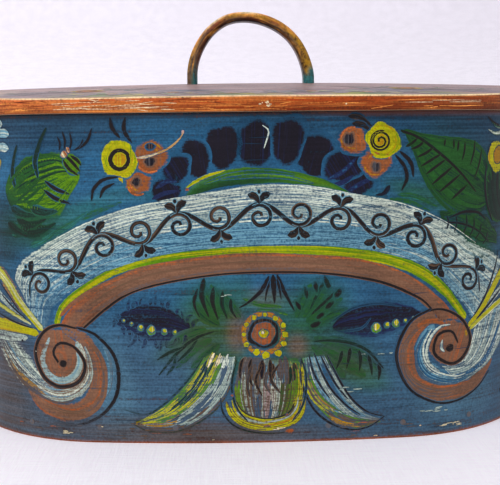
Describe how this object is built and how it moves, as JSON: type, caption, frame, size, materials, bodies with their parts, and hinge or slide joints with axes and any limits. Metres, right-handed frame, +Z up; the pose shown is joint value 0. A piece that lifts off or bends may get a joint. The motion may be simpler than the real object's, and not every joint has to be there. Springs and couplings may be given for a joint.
{
  "type": "bentwood lidded food box",
  "caption": "Oval bentwood box with a ridged wooden lid, springy end posts that grip the lid in notches, and a bent bow handle.",
  "frame": {"origin": "on the ground in the middle of the box", "axes": "+X along the box's length, -Y the painted front, +Z up"},
  "size_m": [0.5276, 0.3, 0.3427],
  "materials": {
    "painted_band": "aged oil paint, dark blue, with painted scrolls and flowers",
    "lid_paint": "worn red-brown and grey-blue oil paint",
    "handle_paint": "worn red-brown and ochre oil paint",
    "post_paint": "worn red-brown oil paint",
    "bare_wood": "aged bare softwood",
    "root": "split root, dark",
    "peg_wood": "whittled end grain"
  },
  "bodies": {
    "box": {"side_band": "painted_band", "bottom_board": "bare_wood", "bottom_pegs": "peg_wood", "stitches_outer_end": "root", "stitches_inner_end": "root", "post_peg_left": "peg_wood", "post_peg_right": "peg_wood"},
    "lid": {"lid_board": "lid_paint", "handle_bow": "handle_paint", "handle_peg_left": "peg_wood", "handle_peg_right": "peg_wood"},
    "left_post": {"post_left": "post_paint"},
    "right_post": {"post_right": "post_paint"}
  },
  "joints": [
    {"name": "lid_lift", "type": "slide", "parent": "box", "child": "lid", "axis": [0, 0, 1], "range_m": [0, 0.062]},
    {"name": "post_right_flex", "type": "hinge", "parent": "box", "child": "right_post", "pos_m": [0.2513, 0, 0.0125], "axis": [0, 1, 0], "range_deg": [0, 2.5], "stiffness_Nm_per_rad": 20},
    {"name": "post_left_flex", "type": "hinge", "parent": "box", "child": "left_post", "pos_m": [-0.2513, 0, 0.0125], "axis": [0, -1, 0], "range_deg": [0, 2.5], "stiffness_Nm_per_rad": 20}
  ],
  "couplings": [
    {"joint": "post_right_flex", "follows": "lid_lift", "rad_per_m": 0.65},
    {"joint": "post_left_flex", "follows": "lid_lift", "rad_per_m": 0.65}
  ]
}
